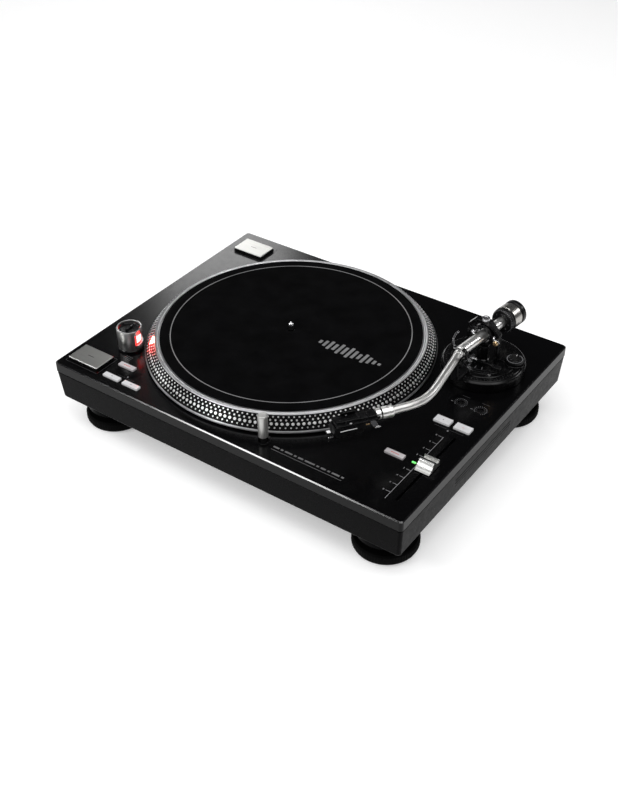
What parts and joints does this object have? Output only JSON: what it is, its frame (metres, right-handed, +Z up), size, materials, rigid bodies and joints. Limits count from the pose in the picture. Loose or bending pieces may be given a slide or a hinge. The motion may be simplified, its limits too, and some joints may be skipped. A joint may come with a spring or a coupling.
{
  "type": "turntable record player",
  "caption": "Direct-drive turntable with dotted platter, slipmat, strobe lamp tower, pitch fader and S-shaped tonearm with counterweight.",
  "frame": {"origin": "on the surface it stands on, below the middle of the plinth", "axes": "+Z up, +X to the right and +Y to the rear when facing the controls"},
  "size_m": [0.458, 0.354, 0.1513],
  "materials": {
    "plate_gloss": "gloss black lacquer over die-cast aluminium, with a fine texture",
    "tub_satin": "satin black moulded resin",
    "foot_rubber": "black rubber",
    "plated_metal": "bright nickel plating",
    "moulded_plastic": "black moulded plastic",
    "circuit_board": "green solder mask",
    "copper_coil": "enamelled copper",
    "turned_steel": "turned steel",
    "ferrite": "sintered ferrite",
    "platter_aluminium": "polished rim, black conical band with bright strobe dots",
    "felt": "black felt with a thin grey ring",
    "brushed_button": "brushed cap on a black body",
    "lit_button": "translucent white plastic, lit from inside",
    "black_metal": "black anodised metal",
    "turned_aluminium": "turned satin aluminium",
    "red_lens": "red lamp lens",
    "green_lens": "green lamp lens",
    "arm_silver": "satin silver tube",
    "weight_metal": "bright band between black rings"
  },
  "bodies": {
    "chassis": {"top_plate": "plate_gloss", "base_tub": "tub_satin", "jack_panel": "tub_satin", "rca_jack_left": "plated_metal", "rca_jack_right": "plated_metal", "ground_post": "plated_metal", "mains_inlet": "moulded_plastic", "main_board": "circuit_board", "power_supply": "circuit_board", "motor_stator": "copper_coil", "bearing_housing": "turned_steel", "strobe_base": "black_metal", "strobe_housing": "turned_aluminium", "strobe_window": "red_lens", "lamp_sleeve": "black_metal", "fader_body": "turned_steel", "quartz_lamp": "green_lens"},
    "platter_assembly": {"platter": "platter_aluminium", "slipmat": "felt", "spindle": "turned_steel", "rotor_magnet": "ferrite"},
    "arm_mount": {"arm_base": "black_metal", "bearing_arch": "black_metal", "top_pivot_screw": "turned_steel", "arm_rest": "moulded_plastic"},
    "gimbal": {"gimbal_ring": "black_metal", "bearing_screw_left": "turned_steel", "bearing_screw_right": "turned_steel"},
    "arm": {"arm_sleeve": "turned_aluminium", "arm_tube": "arm_silver", "headshell": "black_metal", "finger_lift": "turned_steel", "cartridge": "moulded_plastic", "stylus": "moulded_plastic"},
    "start_button_front_body": {"start_button_front": "brushed_button"},
    "start_button_rear_body": {"start_button_rear": "brushed_button"},
    "speed_button_33_body": {"speed_button_33": "lit_button"},
    "speed_button_45_body": {"speed_button_45": "lit_button"},
    "reverse_button_body": {"reverse_button": "lit_button"},
    "range_button_low_body": {"range_button_low": "lit_button"},
    "range_button_high_body": {"range_button_high": "lit_button"},
    "reset_button_body": {"reset_button": "lit_button"},
    "power_knob_body": {"power_knob": "black_metal"},
    "target_lamp_body": {"target_lamp": "turned_aluminium"},
    "pitch_fader_cap_body": {"pitch_fader_cap": "turned_aluminium"},
    "torque_trimmer_body": {"torque_trimmer": "moulded_plastic"},
    "brake_trimmer_body": {"brake_trimmer": "moulded_plastic"},
    "height_ring_body": {"height_ring": "black_metal"},
    "antiskate_dial_body": {"antiskate_dial": "moulded_plastic"},
    "arm_clip_body": {"arm_clip": "moulded_plastic"},
    "cue_lever_body": {"cue_lever": "black_metal"},
    "lift_bar_body": {"lift_bar": "turned_steel"},
    "weight_dial_body": {"weight_dial": "moulded_plastic"},
    "counterweight_body": {"counterweight": "weight_metal"},
    "headshell_collar_body": {"headshell_collar": "turned_aluminium"},
    "foot_front_left_body": {"foot_front_left": "foot_rubber"},
    "foot_front_right_body": {"foot_front_right": "foot_rubber"},
    "foot_rear_left_body": {"foot_rear_left": "foot_rubber"},
    "foot_rear_right_body": {"foot_rear_right": "foot_rubber"}
  },
  "joints": [
    {"name": "platter_spin", "type": "hinge", "parent": "chassis", "child": "platter_assembly", "pos_m": [-0.0308, 0.0031, 0.104], "axis": [0, 0, -1], "continuous": true},
    {"name": "start_button_front_press", "type": "slide", "parent": "chassis", "child": "start_button_front_body", "axis": [0, 0, -1], "range_m": [0, 0.0012], "stiffness_N_per_m": 900, "springref_m": -0.0006},
    {"name": "start_button_rear_press", "type": "slide", "parent": "chassis", "child": "start_button_rear_body", "axis": [0, 0, -1], "range_m": [0, 0.0012], "stiffness_N_per_m": 900, "springref_m": -0.0006},
    {"name": "speed_button_33_press", "type": "slide", "parent": "chassis", "child": "speed_button_33_body", "axis": [0, 0, -1], "range_m": [0, 0.001], "stiffness_N_per_m": 500, "springref_m": -0.0005},
    {"name": "speed_button_45_press", "type": "slide", "parent": "chassis", "child": "speed_button_45_body", "axis": [0, 0, -1], "range_m": [0, 0.001], "stiffness_N_per_m": 500, "springref_m": -0.0005},
    {"name": "reverse_button_press", "type": "slide", "parent": "chassis", "child": "reverse_button_body", "axis": [0, 0, -1], "range_m": [0, 0.001], "stiffness_N_per_m": 500, "springref_m": -0.0005},
    {"name": "range_button_low_press", "type": "slide", "parent": "chassis", "child": "range_button_low_body", "axis": [0, 0, -1], "range_m": [0, 0.001], "stiffness_N_per_m": 500, "springref_m": -0.0005},
    {"name": "range_button_high_press", "type": "slide", "parent": "chassis", "child": "range_button_high_body", "axis": [0, 0, -1], "range_m": [0, 0.001], "stiffness_N_per_m": 500, "springref_m": -0.0005},
    {"name": "reset_button_press", "type": "slide", "parent": "chassis", "child": "reset_button_body", "axis": [0, 0, -1], "range_m": [0, 0.001], "stiffness_N_per_m": 500, "springref_m": -0.0005},
    {"name": "power_turn", "type": "hinge", "parent": "chassis", "child": "power_knob_body", "pos_m": [-0.1769, -0.1061, 0.105], "axis": [0, 0, -1], "range_deg": [0, 40]},
    {"name": "target_lamp_press", "type": "slide", "parent": "chassis", "child": "target_lamp_body", "axis": [0, 0, -1], "range_m": [0, 0.03], "stiffness_N_per_m": 20, "springref_m": -0.01},
    {"name": "pitch_slide", "type": "slide", "parent": "chassis", "child": "pitch_fader_cap_body", "axis": [0, -1, 0], "range_m": [-0.05, 0.05]},
    {"name": "torque_turn", "type": "hinge", "parent": "chassis", "child": "torque_trimmer_body", "pos_m": [0.1825, 0.0166, 0.085], "axis": [0, 0, -1], "range_deg": [-135, 135]},
    {"name": "brake_turn", "type": "hinge", "parent": "chassis", "child": "brake_trimmer_body", "pos_m": [0.2063, 0.016, 0.085], "axis": [0, 0, -1], "range_deg": [-135, 135]},
    {"name": "foot_front_left_turn", "type": "hinge", "parent": "chassis", "child": "foot_front_left_body", "pos_m": [-0.1853, -0.1325, 0.01], "axis": [0, 0, 1], "range_deg": [-180, 180]},
    {"name": "foot_front_right_turn", "type": "hinge", "parent": "chassis", "child": "foot_front_right_body", "pos_m": [0.1853, -0.1325, 0.01], "axis": [0, 0, 1], "range_deg": [-180, 180]},
    {"name": "foot_rear_left_turn", "type": "hinge", "parent": "chassis", "child": "foot_rear_left_body", "pos_m": [-0.1853, 0.1325, 0.01], "axis": [0, 0, 1], "range_deg": [-180, 180]},
    {"name": "foot_rear_right_turn", "type": "hinge", "parent": "chassis", "child": "foot_rear_right_body", "pos_m": [0.1853, 0.1325, 0.01], "axis": [0, 0, 1], "range_deg": [-180, 180]},
    {"name": "height_ring_turn", "type": "hinge", "parent": "chassis", "child": "height_ring_body", "pos_m": [0.171, 0.0845, 0.091], "axis": [0, 0, 1], "range_deg": [0, 300]},
    {"name": "arm_height", "type": "slide", "parent": "chassis", "child": "arm_mount", "axis": [0, 0, 1], "range_m": [0, 0.006]},
    {"name": "antiskate_turn", "type": "hinge", "parent": "arm_mount", "child": "antiskate_dial_body", "pos_m": [0.203, 0.096, 0.102], "axis": [0, 0, 1], "range_deg": [0, 270]},
    {"name": "cue_lever_turn", "type": "hinge", "parent": "arm_mount", "child": "cue_lever_body", "pos_m": [0.1635, 0.0705, 0.1035], "axis": [0, -1, 0], "range_deg": [0, 45]},
    {"name": "lift_travel", "type": "slide", "parent": "arm_mount", "child": "lift_bar_body", "axis": [0, 0, 1], "range_m": [0, 0.003]},
    {"name": "arm_clip_turn", "type": "hinge", "parent": "arm_mount", "child": "arm_clip_body", "pos_m": [0.1748, 0.0305, 0.1265], "axis": [0, -1, 0], "range_deg": [0, 48]},
    {"name": "arm_swing", "type": "hinge", "parent": "arm_mount", "child": "gimbal", "pos_m": [0.1695, 0.0845, 0.13], "axis": [0, 0, -1], "range_deg": [0, 42]},
    {"name": "arm_tilt", "type": "hinge", "parent": "gimbal", "child": "arm", "pos_m": [0.1695, 0.0845, 0.13], "axis": [-0.9925, 0.1219, 0], "range_deg": [-0.8, 10]},
    {"name": "weight_travel", "type": "slide", "parent": "arm", "child": "counterweight_body", "axis": [0.1219, 0.9925, 0], "range_m": [-0.004, 0.004]},
    {"name": "weight_dial_turn", "type": "hinge", "parent": "counterweight_body", "child": "weight_dial_body", "pos_m": [0.1695, 0.0845, 0.13], "axis": [0.1219, 0.9925, 0], "range_deg": [-480, 480]},
    {"name": "collar_turn", "type": "hinge", "parent": "arm", "child": "headshell_collar_body", "pos_m": [0.1585, -0.0865, 0.13], "axis": [-0.58, -0.8146, 0], "range_deg": [-30, 0]}
  ],
  "couplings": [
    {"joint": "height_ring_turn", "follows": "arm_height", "rad_per_m": 872.66},
    {"joint": "cue_lever_turn", "follows": "lift_travel", "rad_per_m": 261.8},
    {"joint": "weight_dial_turn", "follows": "weight_travel", "rad_per_m": 2094.4}
  ]
}
